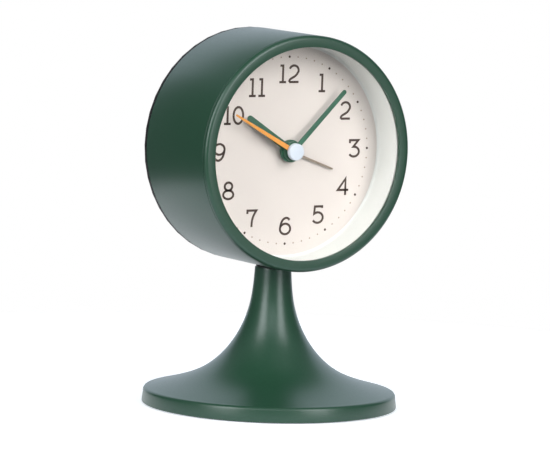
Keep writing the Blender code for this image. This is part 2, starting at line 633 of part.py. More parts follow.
def make_hands(paints):
    green = paints["green_hand_paint"]
    make_hand("alarm_hand", ALARM_ANGLE, hand_outline(0.55, 0.4, 23.7), ALARM_SHEET,
              (3.7, ALARM_SHEET[0] - 0.05, ALARM_SHEET[1] + 0.6), 2.75, paints["satin_metal"])
    make_hand("hour_hand", HOUR_ANGLE, hand_outline(1.75, 1.35, 26.2), HOUR_SHEET,
              (4.8, HOUR_SHEET[0] - 0.1, HOUR_SHEET[1] + 1.0), 1.95, green)
    make_hand("minute_hand", MINUTE_ANGLE, hand_outline(1.1, 0.95, 35.8), MINUTE_SHEET,
              (4.1, MINUTE_SHEET[0] - 0.1, MINUTE_SHEET[1] + 0.9), 1.25, green)
    make_hand("second_hand", SECOND_ANGLE, hand_outline(1.1, 0.45, 33.1), SECOND_SHEET,
              (2.2, SECOND_SHEET[0] - 0.05, SECOND_SHEET[1] + 0.15), 0.65, paints["orange_paint"])
    cap_back = SECOND_SHEET[0] - 0.15
    cap_front = cap_back - CAP_THICKNESS
    cap = [(0, cap_front), (CAP_R - 0.45, cap_front), (CAP_R, cap_front + 0.4), (CAP_R, cap_back - 0.15),
           (CAP_R - 1.2, cap_back), (0.65, cap_back), (0.65, cap_back - 0.65), (0, cap_back - 0.65)]
    turned("second_cap", cap, paints["white_plastic"], at=(0, 0, AXIS_Z), segments=24)


# --------------------------------------------------------------------- back

DOOR_HALF = (29.0, 9.6)
DOOR_CENTRE = (0.0, -BATTERY_DROP)


def make_back_cover(paints, places):
    black = paints["black_plastic"]
    skirt_r = CASE_R - CASE_WALL - GAP
    profile = [(0, COVER_FRONT_Y), (46.7, COVER_FRONT_Y), (46.7, 20.5), (skirt_r, 20.5), (skirt_r, COVER_FRONT_Y),
               (CASE_R, COVER_FRONT_Y), (CASE_R, BACK_Y - 0.6), (CASE_R - 0.6, BACK_Y), (0, BACK_Y)]
    cover = turned("back_cover", profile, black, at=(0, 0, AXIS_Z))
    front, back = COVER_FRONT_Y - 1, BACK_Y + 1
    cut(cover, prism("door_opening", rectangle(DOOR_HALF[0] + GAP, DOOR_HALF[1] + GAP, 1.5, DOOR_CENTRE),
                     front, back, black, (0, 0, AXIS_Z)))
    for i, place in enumerate(screw_places()):
        cut(cover, rod(f"cover_screw_hole_{i}", 1.7, front, back, black, place, segments=12),
            rod(f"cover_counterbore_{i}", 3.3, BACK_Y - 0.9, back, black, place, segments=16))
    for name in ("time_shaft", "alarm_shaft"):
        cut(cover, rod(f"cover_hole_{name}", SHAFT_R + 0.3, front, back, black, places[name], segments=16))
    cut(cover, rod("cover_button_hole", 4.3, front, back, black, (BUTTON_X, 0), segments=24),
        block("cover_switch_slot", (8.6, 6.0, 3.2), (SWITCH_X, BACK_Y, AXIS_Z), black))
    for row in (-1, 0, 1):
        length = 12.0 if row == 0 else 9.0
        cut(cover, block(f"cover_sound_slot_{row + 1}", (length, 8.0, 1.4),
                         (0, 25.4, AXIS_Z + BUZZER_RISE + 4.0 * row), black))

    door = prism("battery_door", rectangle(*DOOR_HALF, 1.3, DOOR_CENTRE), COVER_FRONT_Y + 0.2, BACK_Y - 0.1, black,
                 (0, 0, AXIS_Z))
    for i in range(4):
        cut(door, block(f"door_groove_{i}", (8.0, 1.2, 0.7),
                        (0, BACK_Y, AXIS_Z - BATTERY_DROP + 6.6 - 1.6 * i), black))


def make_knob(name, place, paint):
    """A setting knob: a grip with shallow flutes, and a blind bore for its shaft."""
    flutes = 18
    outline = []
    for i in range(flutes):
        mid = 360 * i / flutes
        outline += [dial_point(KNOB_R - depth, mid + 360 / flutes * share)
                    for share, depth in ((0.0, 0.5), (0.3, 0.0), (0.7, 0.0))]
    knob = prism(name, outline, KNOB_FRONT_Y, KNOB_BACK_Y, paint, (place[0], 0, AXIS_Z + place[1]))
    cut(knob, rod(f"{name}_bore", SHAFT_R + 0.05, KNOB_FRONT_Y - 1, KNOB_BACK_Y - 1.8, paint, place))
    return knob


def make_controls(paints, places):
    black = paints["black_plastic"]
    make_knob("time_knob", places["time_shaft"], black)
    make_knob("alarm_knob", places["alarm_shaft"], black)
    switch = block("alarm_switch", (3.2, 5.2, 2.6), (SWITCH_X - 2.0, 26.2, AXIS_Z), black)
    join(switch, block("switch_flange", (7.0, 0.8, 6.0), (SWITCH_X - 2.0, 23.6, AXIS_Z), black))
    button = rod("snooze_button", 4.0, 23.4, 28.0, black, (BUTTON_X, 0), segments=24)
    join(button, rod("button_flange", 5.2, 22.9, 24.0, black, (BUTTON_X, 0), segments=24))
    cage = [(0, 16.8), (6.9, 16.8), (6.9, 24.1), (5.7, 24.1), (5.7, 18.0), (0, 18.0)]
    turned("button_cage", cage, black, at=(BUTTON_X, 0, AXIS_Z), segments=20)
    coil_spring("snooze_spring", (BUTTON_X, 18.6, AXIS_Z), (0, 1, 0), (3.2, 3.2), 3.8, 4, 0.25, paints["steel"])


def coil_spring(name, start, direction, radii, length, turns, wire_r, paint):
    """A coil from start along X or Y, from its first radius to its second."""
    steps = 12 * turns
    points = []
    for i in range(steps + 1):
        share = i / steps
        radius = radii[0] + (radii[1] - radii[0]) * share
        a = 2 * math.pi * turns * share
        u, v, along = radius * math.cos(a), radius * math.sin(a), length * share
        if direction[0]:
            points.append((start[0] + along * direction[0], start[1] + u, start[2] + v))
        else:
            points.append((start[0] + u, start[1] + along, start[2] + v))
    return wire(name, points, wire_r, paint, sides=0, smooth=False)


def make_power(paints):
    """Battery box on the inside of the cover, with its contacts, the battery and the leads."""
    black = paints["black_plastic"]
    centre_z = AXIS_Z - BATTERY_DROP
    box = block("battery_box", (60.0, 15.5, 18.6), (0, 16.4, centre_z), black)
    cut(box, block("box_hollow", (57.6, 15.5, 16.0), (0, 17.6, centre_z), black))
    half = 24.6
    battery = turned("battery", [(0, -half), (BATTERY_R - 0.5, -half), (BATTERY_R, -half + 0.5),
                                 (BATTERY_R, half - 0.5), (BATTERY_R - 0.5, half), (2.75, half),
                                 (2.75, half + 1.3), (0, half + 1.3)],
                     paints["battery_sleeve"], at=(0, BATTERY_Y, centre_z), axis="Z", segments=20)
    battery.rotation_euler = (0, math.radians(90), 0)
    block("positive_contact", (0.5, 9.0, 9.0), (27.2, BATTERY_Y, centre_z), paints["steel"])
    coil_spring("negative_spring", (-25.3, BATTERY_Y, centre_z), (-1, 0, 0), (3.0, 5.0), 2.8, 3, 0.35,
                paints["steel"])
    wire("battery_lead_red", [(25.0, 20.5, 94.2), (27.5, 18.5, 97.0), (30.5, 14.0, 104.0), (30.8, 10.0, 112.0),
                              (30.0, 8.5, 124.0), (24.0, 9.8, 132.0), (10.0, 10.2, 134.0), (2.0, 10.0, 132.5)],
         0.6, paints["red_wire"], sides=1)
    wire("battery_lead_black", [(-25.0, 20.5, 94.2), (-28.0, 18.0, 97.0), (-31.0, 14.0, 104.0), (-31.0, 10.0, 112.0),
                                (-30.0, 9.0, 124.0), (-24.0, 9.8, 131.0), (-14.0, 10.2, 133.0), (-8.0, 10.0, 132.0)],
         0.6, paints["rubber"], sides=1)
    rod("buzzer", 10.5, 20.4, 24.1, paints["black_plastic"], (0, BUZZER_RISE), segments=32)


def main():
    for obj in list(bpy.data.objects):
        bpy.data.objects.remove(obj, do_unlink=True)
    paints = make_materials()
    places = wheel_places()
    make_pedestal(paints)
    make_case(paints)
    make_carrier(paints)
    make_movement_box(paints, places)
    make_motion_work(paints, places)
    make_going_train(paints, places)
    make_motor(paints, places)
    make_hands(paints)
    make_back_cover(paints, places)
    make_controls(paints, places)
    make_power(paints)
    for i, place in enumerate(movement_screw_places()):
        make_screw(f"movement_screw_{i + 1}", place, 2.2, MOVEMENT_SCREW_HEAD, 0.95,
                   DIAL_FRONT_Y + 0.9, paints["steel"])
    for i, place in enumerate(screw_places()):
        make_screw(f"back_screw_{i + 1}", place, 2.9, (BACK_Y - 0.8, BACK_Y + 0.4), 1.15, 14.0, paints["steel"])


main()
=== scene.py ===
"""Looks of the desk alarm clock: camera, light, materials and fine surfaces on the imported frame.

Places come from the frame's own nodes. Lengths are in millimetres, and new_piece() turns them into metres.
Dial angles run clockwise from twelve, as seen from the front. The dial faces -Y.
"""

import math

import bmesh
import bpy
import numpy as np
from mathutils import Matrix, Vector


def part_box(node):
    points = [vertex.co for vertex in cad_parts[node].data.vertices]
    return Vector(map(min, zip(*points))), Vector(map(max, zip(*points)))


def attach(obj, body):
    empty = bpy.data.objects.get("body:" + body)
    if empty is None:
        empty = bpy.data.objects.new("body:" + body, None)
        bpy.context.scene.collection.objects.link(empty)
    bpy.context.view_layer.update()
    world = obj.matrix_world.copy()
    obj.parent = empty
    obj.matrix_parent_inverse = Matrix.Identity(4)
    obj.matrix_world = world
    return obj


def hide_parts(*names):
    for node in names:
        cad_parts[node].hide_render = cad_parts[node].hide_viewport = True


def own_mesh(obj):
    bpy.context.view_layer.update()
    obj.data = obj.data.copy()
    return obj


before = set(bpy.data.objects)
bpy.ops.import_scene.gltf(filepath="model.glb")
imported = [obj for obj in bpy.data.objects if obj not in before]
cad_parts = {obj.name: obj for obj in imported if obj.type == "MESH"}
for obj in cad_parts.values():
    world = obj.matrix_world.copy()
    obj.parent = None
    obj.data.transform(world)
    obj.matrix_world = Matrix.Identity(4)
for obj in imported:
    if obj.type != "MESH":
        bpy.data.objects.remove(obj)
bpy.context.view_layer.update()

MM = 0.001
FINE = 160                       # segments of a large round piece
SMALL = 48                       # segments of a small one
SHARP_EDGE = math.radians(35)    # an edge that turns by more than this isn't shaded smooth


def box(node):
    """Lowest and highest corner of a CAD node, in millimetres."""
    low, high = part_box(node)
    return low / MM, high / MM


SHELL_LOW, SHELL_HIGH = box("case_shell")
BEZEL_LOW, BEZEL_HIGH = box("bezel")
CASE_R = (BEZEL_HIGH.x - BEZEL_LOW.x) / 2
AXIS_Z = BEZEL_HIGH.z - CASE_R
FRONT_Y = BEZEL_LOW.y
FOOT_R = box("pedestal")[1].x
DIAL_Y = box("dial")[0].y
CENTRE = (0.0, 0.0, AXIS_Z)


# ------------------------------------------------------------------- camera

CAMERA_AZIMUTH = -30.97
CAMERA_ELEVATION = 6.24
CAMERA_ROLL = 1.88
CAMERA_DISTANCE = 38.16 * CASE_R
AIM_Z = 1.546 * CASE_R           # height of the point that the camera looks at
AIM_RIGHT = 0.2                  # and how far it lies to the right of the pedestal's axis
FOCAL_LENGTH = 293.5


def make_camera():
    """A long lens, a little above the dial and to its left."""
    azimuth = math.radians(CAMERA_AZIMUTH)
    elevation = math.radians(CAMERA_ELEVATION)
    roll = math.radians(CAMERA_ROLL)
    back = Vector((math.sin(azimuth) * math.cos(elevation), -math.cos(azimuth) * math.cos(elevation),
                   math.sin(elevation)))
    level = Vector((math.cos(azimuth), math.sin(azimuth), 0))
    upright = back.cross(level)
    right = level * math.cos(roll) + upright * math.sin(roll)
    up = upright * math.cos(roll) - level * math.sin(roll)
    camera = bpy.data.objects.new("camera", bpy.data.cameras.new("camera"))
    camera.data.lens = FOCAL_LENGTH
    camera.data.clip_end = 50
    turn = Matrix((right, up, back)).transposed().to_4x4()
    aim = Vector((0, 0, AIM_Z)) + right * AIM_RIGHT
    camera.matrix_world = Matrix.Translation((aim + back * CAMERA_DISTANCE) * MM) @ turn
    bpy.context.scene.collection.objects.link(camera)
    bpy.context.scene.camera = camera


# ---------------------------------------------------------- floor and light

FLOOR_R = 300
FLOOR_GLOW = 0.6
LIGHT_DISTANCE = 1.4             # metres
WARM = (1.0, 0.97, 0.94)
COOL = (0.78, 0.87, 1.0)
SKY_COLOUR = (0.88, 0.93, 1.0)
SKY = ((0.42, 0.11), (0.56, 0.27), (0.72, 0.25), (0.85, 0.18))  # sine of the elevation, strength


def make_floor():
    """A white disk that shows in the clock's reflections and runs into the white backdrop."""
    bm = bmesh.new()
    bmesh.ops.create_circle(bm, cap_ends=True, segments=96, radius=FLOOR_R)
    floor = new_piece("floor", bm, floor_paint())
    floor.visible_diffuse = False   # so that only its mirror image lights the clock from below
    floor.visible_transmission = False


def make_world():
    """Dim at the horizon, brightest 35 degrees up, and plain white where the camera sees past the floor."""
    world = bpy.data.worlds.new("studio")
    bpy.context.scene.world = world
    world.use_nodes = True
    nodes, links = world.node_tree.nodes, world.node_tree.links
    nodes.clear()
    seen = nodes.new("ShaderNodeLightPath")
    around = nodes.new("ShaderNodeBackground")
    direction = nodes.new("ShaderNodeTexCoord")
    height = nodes.new("ShaderNodeSeparateXYZ")
    links.new(direction.outputs["Generated"], height.inputs[0])
    glow = nodes.new("ShaderNodeValToRGB")
    ramp = glow.color_ramp
    for stop, (sine, strength) in enumerate(SKY):
        point = ramp.elements[stop] if stop < len(ramp.elements) else ramp.elements.new(sine)
        point.position = sine
        point.color = (*[c * strength for c in SKY_COLOUR], 1)
    links.new(height.outputs["Z"], glow.inputs[0])
    links.new(glow.outputs["Color"], around.inputs["Color"])
    behind = nodes.new("ShaderNodeBackground")
    mix = nodes.new("ShaderNodeMixShader")
    out = nodes.new("ShaderNodeOutputWorld")
    behind.inputs["Color"].default_value = (1, 1, 1, 1)
    links.new(seen.outputs["Is Camera Ray"], mix.inputs[0])
    links.new(around.outputs[0], mix.inputs[1])
    links.new(behind.outputs[0], mix.inputs[2])
    links.new(mix.outputs[0], out.inputs[0])


def make_softbox(name, azimuth, elevation, size, watts, colour=(1, 1, 1)):
    """A rectangular light, (width, height) in metres, that looks at the dial's centre.

    Its azimuth is counted from the camera, to the right, and it stands LIGHT_DISTANCE away.
    """
    a, e = math.radians(CAMERA_AZIMUTH + azimuth), math.radians(elevation)
    towards = Vector((math.sin(a) * math.cos(e), -math.cos(a) * math.cos(e), math.sin(e)))
    lamp = bpy.data.lights.new(name, "AREA")
    lamp.shape = "RECTANGLE"
    lamp.size, lamp.size_y = size
    lamp.energy = watts
    lamp.color = colour
    obj = bpy.data.objects.new(name, lamp)
    obj.location = Vector(CENTRE) * MM + towards * LIGHT_DISTANCE
    obj.rotation_euler = towards.to_track_quat("Z", "Y").to_euler()
    bpy.context.scene.collection.objects.link(obj)


def make_lights():
    """Two soft boxes and a weak fill in front, a bright wall behind, a weak light above, and dark sides."""
    make_softbox("left_box", -40, 21, (0.65, 1.1), 14.0, WARM)
    make_softbox("right_box", 45, 20, (0.6, 1.2), 13.5, WARM)
    make_softbox("front_fill", 3, 27, (0.7, 0.6), 2.4)
    make_softbox("back_wall", 177, 16, (2.4, 1.2), 9.4, COOL)
    make_softbox("overhead", 60, 75, (0.9, 0.9), 0.7)
    bpy.context.scene.view_settings.view_transform = "Standard"


# ---------------------------------------------------------------- materials

def srgb(red, green, blue):
    """Linear colour of an 8-bit sRGB colour, none of whose parts is below 11."""
    return tuple(((c / 255 + 0.055) / 1.055) ** 2.4 for c in (red, green, blue))


def noise(made, place, scale, detail):
    """Output of a noise texture, read at place, whose patches number scale per metre."""
    texture = made.node_tree.nodes.new("ShaderNodeTexNoise")
    texture.inputs["Scale"].default_value = scale
    texture.inputs["Detail"].default_value = detail
    made.node_tree.links.new(place, texture.inputs["Vector"])
    return texture.outputs[0]


def surface(name, colour, roughness, metallic=0.0, mottle=0.08, patch=60, grain=1800, relief=0.006,
            rough_spread=0.06, packing=(1, 1, 1)):
    """A Principled material whose colour, roughness and relief vary over the surface.

    mottle is how far the colour strays, over patches that number patch per metre; grain is the number of
    bumps per metre and relief their height in millimetres. packing brings both closer along an axis.
    """
    made = bpy.data.materials.new(name)
    made.use_nodes = True
    nodes, links = made.node_tree.nodes, made.node_tree.links
    shader = nodes["Principled BSDF"]
    shader.inputs["Metallic"].default_value = metallic
    place = nodes.new("ShaderNodeTexCoord")
    mapping = nodes.new("ShaderNodeMapping")
    mapping.inputs["Scale"].default_value = packing
    links.new(place.outputs["Object"], mapping.inputs[0])

    tint = nodes.new("ShaderNodeMix")
    tint.data_type = "RGBA"
    tint.inputs["A"].default_value = (*[c * (1 - mottle) for c in colour], 1)
    tint.inputs["B"].default_value = (*[min(1, c * (1 + mottle)) for c in colour], 1)
    links.new(noise(made, mapping.outputs[0], patch, 4), tint.inputs["Factor"])
    links.new(tint.outputs["Result"], shader.inputs["Base Color"])

    fine = noise(made, mapping.outputs[0], grain, 3)
    spread = nodes.new("ShaderNodeMapRange")
    spread.inputs["To Min"].default_value = roughness - rough_spread
    spread.inputs["To Max"].default_value = roughness + rough_spread
    links.new(fine, spread.inputs["Value"])
    links.new(spread.outputs[0], shader.inputs["Roughness"])
    bump = nodes.new("ShaderNodeBump")
    bump.inputs["Strength"].default_value = 1.0
    bump.inputs["Distance"].default_value = relief * MM
    links.new(fine, bump.inputs["Height"])
    links.new(bump.outputs[0], shader.inputs["Normal"])
    return made


def shader_of(made):
    return made.node_tree.nodes["Principled BSDF"]


def floor_paint():
    """Matt white with an even glow, so that the floor runs into the backdrop unseen."""
    made = surface("floor_paint", (0.9, 0.9, 0.9), 0.9, mottle=0.01, patch=3, grain=60, relief=0.0)
    shader = shader_of(made)
    shader.inputs["Specular IOR Level"].default_value = 0.0
    shader.inputs["Emission Color"].default_value = (0.87, 0.93, 1, 1)
    shader.inputs["Emission Strength"].default_value = FLOOR_GLOW
    return made


def powder_coat():
    """Satin green with a fine orange-peel grain and a cool sheen."""
    made = surface("green_powder_coat", (0.018, 0.068, 0.038), 0.33, mottle=0.12, patch=900, grain=1500,
                   relief=0.005)
    shader = shader_of(made)
    shader.inputs["Specular IOR Level"].default_value = 0.66
    shader.inputs["Specular Tint"].default_value = (0.86, 0.93, 1.0, 1)
    return made


def lens_glass():
    """Clear glass, whose low index of refraction keeps its reflections faint."""
    made = surface("lens_glass", (0.93, 0.94, 0.94), 0.02, mottle=0.01, rough_spread=0.015, grain=90,
                   relief=0.0)
    shader = shader_of(made)
    shader.inputs["Transmission Weight"].default_value = 1.0
    shader.inputs["IOR"].default_value = 1.15
    return made


def make_materials():
    return {
        "paint": powder_coat(),
        "hand_paint": surface("green_hand_paint", srgb(36, 86, 66), 0.4, patch=300, relief=0.002),
        "orange_paint": surface("orange_paint", srgb(208, 138, 50), 0.42, mottle=0.05, patch=400,
                                relief=0.002),
        "dial_paint": surface("dial_paint", srgb(204, 197, 193), 0.75, mottle=0.012, patch=25, grain=4000,
                              relief=0.002),
        "ink": surface("brown_ink", srgb(58, 42, 34), 0.6, mottle=0.15, patch=900, grain=5000, relief=0.002),
        "grey_ink": surface("grey_ink", srgb(150, 136, 124), 0.6, mottle=0.1, patch=900, relief=0.002),
        "cap": surface("cap_plastic", srgb(190, 200, 212), 0.3, mottle=0.01, patch=120, relief=0.002),
        "white": surface("white_plastic", srgb(217, 220, 218), 0.32, mottle=0.015, patch=120, relief=0.002),
        "black": surface("black_plastic", srgb(30, 30, 32), 0.55, mottle=0.12, patch=200, grain=2600,
                         relief=0.02),
        "black_gloss": surface("black_gloss", srgb(24, 24, 26), 0.3, mottle=0.1, patch=200, relief=0.003),
        "nylon": surface("nylon", srgb(226, 220, 204), 0.45, mottle=0.05, patch=150, relief=0.004),
        "steel": surface("zinc_steel", srgb(186, 188, 192), 0.3, metallic=1.0, mottle=0.12, patch=400,
                         grain=2500, relief=0.004),
        "brass": surface("brass", srgb(204, 164, 90), 0.28, metallic=1.0, mottle=0.1, patch=500,
                         relief=0.003),
        "satin_metal": surface("satin_metal", srgb(140, 128, 116), 0.45, metallic=0.6, mottle=0.08, patch=500,
                               relief=0.002),
        "copper": surface("copper_winding", srgb(176, 92, 46), 0.35, metallic=1.0, mottle=0.2, patch=300,
                          grain=300, relief=0.05, packing=(1, 1, 30)),
        "magnet": surface("magnet", srgb(64, 64, 68), 0.5, mottle=0.15, patch=400, relief=0.01),
        "board": surface("circuit_board", srgb(28, 92, 54), 0.4, mottle=0.3, patch=350, relief=0.01),
        "rubber": surface("rubber", srgb(26, 27, 27), 0.85, mottle=0.15, patch=300, grain=2200, relief=0.03),
        "foam": surface("foam_pad", srgb(34, 38, 36), 0.95, mottle=0.2, patch=500, grain=1400, relief=0.08),
        "sleeve": surface("battery_sleeve", srgb(66, 80, 104), 0.3, mottle=0.06, patch=150, relief=0.002),
        "red_wire": surface("red_wire", srgb(168, 28, 26), 0.4, mottle=0.08, patch=400, relief=0.004),
        "glass": lens_glass(),
    }


CAD_LOOKS = {
    "nylon": ["movement_middle_plate", "alarm_wheel", "hour_wheel", "minute_wheel", "time_shaft",
              "alarm_shaft", "centre_wheel", "third_wheel", "second_wheel", "transfer_wheel"],
    "steel": ["ballast_plate", "tie_washer", "tie_bolt", "tie_nut", "stator", "coil_core", "quartz_crystal",
              "movement_screw_1", "movement_screw_2", "negative_spring", "positive_contact"],
    "black": ["movement_front_plate", "movement_housing", "battery_box", "button_cage", "buzzer"],
    "white": ["dial_carrier"],
    "brass": ["cannon_pinion"],
    "copper": ["coil"],
    "magnet": ["rotor"],
    "board": ["circuit_board"],
    "rubber": ["battery_lead_black", "saddle_gasket"],
    "foam": ["base_pad"],
    "red_wire": ["battery_lead_red"],
    "sleeve": ["battery"],
}


def dress_cad(paints):
    """Materials of the pieces inside, which keep their CAD shapes."""
    for look, nodes in CAD_LOOKS.items():
        for node in nodes:
            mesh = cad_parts[node].data
            mesh.materials.clear()
            mesh.materials.append(paints[look])


# ------------------------------------------------------------- shape helpers

def new_piece(name, bm, paint, at=(0.0, 0.0, 0.0)):
    """Makes the bmesh, in millimetres, into an object whose origin lies at the point given."""
    bmesh.ops.remove_doubles(bm, verts=bm.verts, dist=1e-4)
    bmesh.ops.recalc_face_normals(bm, faces=bm.faces)
    bmesh.ops.scale(bm, vec=(MM, MM, MM), verts=bm.verts)
    mesh = bpy.data.meshes.new(name)
    bm.to_mesh(mesh)
    bm.free()
    mesh.shade_smooth()
    mesh.set_sharp_from_angle(angle=SHARP_EDGE)
    mesh.materials.append(paint)
    obj = bpy.data.objects.new(name, mesh)
    obj.location = [c * MM for c in at]
    bpy.context.scene.collection.objects.link(obj)
    return obj


def stands_for(piece, body, slot, *nodes):
    """The piece rides on the body in place of these CAD nodes."""
    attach(piece, body)
    if nodes:
        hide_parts(*nodes)


def dial_point(radius, angle, centre=(0.0, 0.0)):
    """(x, z) at a dial angle round a centre."""
    a = math.radians(angle)
    return centre[0] + radius * math.sin(a), centre[1] + radius * math.cos(a)


def smoothed(points, per_span):
    """Points along the natural cubic spline through the given ones, whose curvature never jumps."""
    knots = np.array(points)
    spans = np.linalg.norm(np.diff(knots, axis=0), axis=1)
    slopes = np.diff(knots, axis=0) / spans[:, None]
    system = np.eye(len(knots))
    bends = np.zeros_like(knots)
    for i in range(1, len(knots) - 1):
        system[i, i - 1:i + 2] = spans[i - 1], 2 * (spans[i - 1] + spans[i]), spans[i]
        bends[i] = 6 * (slopes[i] - slopes[i - 1])
    bends = np.linalg.solve(system, bends)
    made = []
    for i, span in enumerate(spans):
        rise = slopes[i] - span * (2 * bends[i] + bends[i + 1]) / 6
        twist = (bends[i + 1] - bends[i]) / 6 / span
        for step in range(per_span):
            u = span * step / per_span
            made.append(tuple(knots[i] + u * rise + u ** 2 * bends[i] / 2 + u ** 3 * twist))
    return made + [tuple(points[-1])]


def arc(centre_x, centre_z, radius_x, radius_z, start, end, steps=18):
    """Points of an ellipse's arc; 0 degrees is to the right and 90 is up."""
    points = []
    for i in range(steps + 1):
        a = math.radians(start + (end - start) * i / steps)
        points.append((centre_x + radius_x * math.cos(a), centre_z + radius_z * math.sin(a)))
    return points


def fillet(centre, radius, start, end, steps):
    """Arc of (radius, along) points: 0 degrees points outwards and 90 along +axis."""
    return arc(*centre, radius, radius, start, end, steps)


def lathe(profile, axis="Y", segments=FINE):
    """A bmesh of (radius, distance along the axis) points spun round Y or Z.

    An outline that starts or ends away from the axis is closed into a ring.
    """
    bm = bmesh.new()
    if axis == "Y":
        verts = [bm.verts.new((0.0, along, radius)) for radius, along in profile]
        direction = (0.0, 1.0, 0.0)
    else:
        verts = [bm.verts.new((radius, 0.0, along)) for radius, along in profile]
        direction = (0.0, 0.0, 1.0)
    pairs = list(zip(verts, verts[1:]))
    if profile[0][0] > 0 or profile[-1][0] > 0:
        pairs.append((verts[-1], verts[0]))
    edges = [bm.edges.new(pair) for pair in pairs]
    bmesh.ops.spin(bm, geom=verts + edges, cent=(0, 0, 0), axis=direction, angle=2 * math.pi,
                   steps=segments, use_duplicate=False)
    return bm


def prism(outline, front, back):
    """A bmesh of an (x, z) outline extruded along Y."""
    bm = bmesh.new()
    face = bm.faces.new([bm.verts.new((x, front, z)) for x, z in outline])
    grown = bmesh.ops.extrude_face_region(bm, geom=[face])
    moved = [v for v in grown["geom"] if isinstance(v, bmesh.types.BMVert)]
    bmesh.ops.translate(bm, verts=moved, vec=(0, back - front, 0))
    return bm


def soften(piece, width):
    """Rounds the piece's sharp edges by width millimetres."""
    step = piece.modifiers.new("Bevel", "BEVEL")
    step.width = width * MM
    step.segments = 2
    step.limit_method = "ANGLE"
    step.angle_limit = SHARP_EDGE
    step.harden_normals = True


# ----------------------------------------------------------------- pedestal

NECK_R = 7.6
NECK_TOP_Z = 62.0                # cut back by the saddle
WEB_Z = 54.0                     # underside of the web that the bolt goes through
BOLT_HOLE_R = 2.8
SADDLE_GAP = 0.9                 # for the gasket between the drum and the saddle


def make_pedestal(paints):
    """The trumpet, with a saddle at its top that fits under the drum."""
    flare = smoothed([(NECK_R, NECK_TOP_Z), (8.0, 55.0), (9.4, 44.0), (12.8, 33.8), (18.6, 24.3),
                      (28.0, 15.7), (40.0, 10.4), (52.0, 7.0)], 10)
    rim = fillet((FOOT_R - 2.0, 5.4), 1.5, 75, 4, 8)
    heel = fillet((FOOT_R - 0.4, 0.9), 0.4, 0, -90, 4)
    inside = [(FOOT_R - 1.6, 0.5), (FOOT_R - 1.9, 4.6), (40.0, 8.4), (28.0, 13.5), (17.4, 22.6),
              (11.2, 33.4), (7.8, 43.8), (5.6, WEB_Z), (BOLT_HOLE_R, WEB_Z), (BOLT_HOLE_R, NECK_TOP_Z)]
    bm = lathe(flare + rim + heel + inside, axis="Z")
    saddle_r = CASE_R + SADDLE_GAP
    for vert in bm.verts:
        if abs(vert.co.x) < saddle_r:
            vert.co.z = min(vert.co.z, AXIS_Z - math.sqrt(saddle_r ** 2 - vert.co.x ** 2))
    pedestal = new_piece("pedestal_fine", bm, paints["paint"])
    stands_for(pedestal, "case", "green_paint", "pedestal")


# --------------------------------------------------------------------- case

SHELL_WALL = 1.2
BEZEL_OPENING_R = 45.1
BEZEL_LIP = 1.6                  # thickness of what holds the glass
BEZEL_CORNER = 1.7               # radius of its outer edge
BEZEL_FACE = 2.0                 # depth of the part that shows in front of the drum
BEZEL_SKIRT_INSET = 1.5          # of the part that goes inside the drum
GLASS_SEAT_R = 47.5
WALL_INNER_R = 45.7
WALL_TURN = 1.1                  # radius of the inner wall's turn onto the dial
EDGE = 0.2                       # radius of an edge that is just broken
SOFT_EDGE = 0.25                 # and of one that is a little rounder


def make_shell(paints):
    """The drum's open-ended tube."""
    inner = CASE_R - SHELL_WALL
    profile = [(inner, SHELL_LOW.y)]
    profile += fillet((CASE_R - SOFT_EDGE, SHELL_LOW.y + SOFT_EDGE), SOFT_EDGE, -90, 0, 4)
    profile += fillet((CASE_R - EDGE, SHELL_HIGH.y - EDGE), EDGE, 0, 90, 4)
    profile += [(inner, SHELL_HIGH.y)]
    shell = new_piece("drum_shell", lathe(profile), paints["paint"], CENTRE)
    stands_for(shell, "case", "green_paint", "case_shell")


def make_bezel(paints):
    """Front ring: rounded outer edge, flat face, and a lip that holds the glass."""
    skirt = CASE_R - BEZEL_SKIRT_INSET
    face_back = FRONT_Y + BEZEL_FACE
    lip_back = FRONT_Y + BEZEL_LIP
    profile = fillet((BEZEL_OPENING_R + SOFT_EDGE, FRONT_Y + SOFT_EDGE), SOFT_EDGE, 180, 270, 4)
    profile += fillet((CASE_R - BEZEL_CORNER, FRONT_Y + BEZEL_CORNER), BEZEL_CORNER, -90, 0, 10)
    profile += fillet((CASE_R - EDGE, face_back - EDGE), EDGE, 0, 90, 3)
    profile += [(skirt, face_back), (skirt, BEZEL_HIGH.y), (GLASS_SEAT_R, BEZEL_HIGH.y),
                (GLASS_SEAT_R, lip_back), (BEZEL_OPENING_R, lip_back)]
    bezel = new_piece("bezel_ring", lathe(profile), paints["paint"], CENTRE)
    stands_for(bezel, "case", "green_paint", "bezel")


def make_glass(paints):
    """A flat disk that throws no shadow on the dial."""
    low, high = box("lens")
    radius = (high.x - low.x) / 2
    profile = [(0, low.y), (radius - EDGE, low.y), (radius, low.y + EDGE), (radius, high.y - EDGE),
               (radius - EDGE, high.y), (0, high.y)]
    glass = new_piece("lens_fine", lathe(profile), paints["glass"], CENTRE)
    glass.visible_shadow = False
    stands_for(glass, "case", "clear_lens", "lens")


def make_inner_wall(paints):
    """White wall between the glass and the dial, with a soft turn onto the dial."""
    low, high = box("reflector_ring")
    outer = (high.x - low.x) / 2
    profile = [(WALL_INNER_R, low.y), (outer, low.y), (outer, high.y)]
    profile += fillet((WALL_INNER_R - WALL_TURN, high.y - WALL_TURN), WALL_TURN, 90, 0, 6)
    wall = new_piece("inner_wall", lathe(profile), paints["white"], CENTRE)
    stands_for(wall, "case", "white_plastic", "reflector_ring")


# --------------------------------------------------------------------- dial

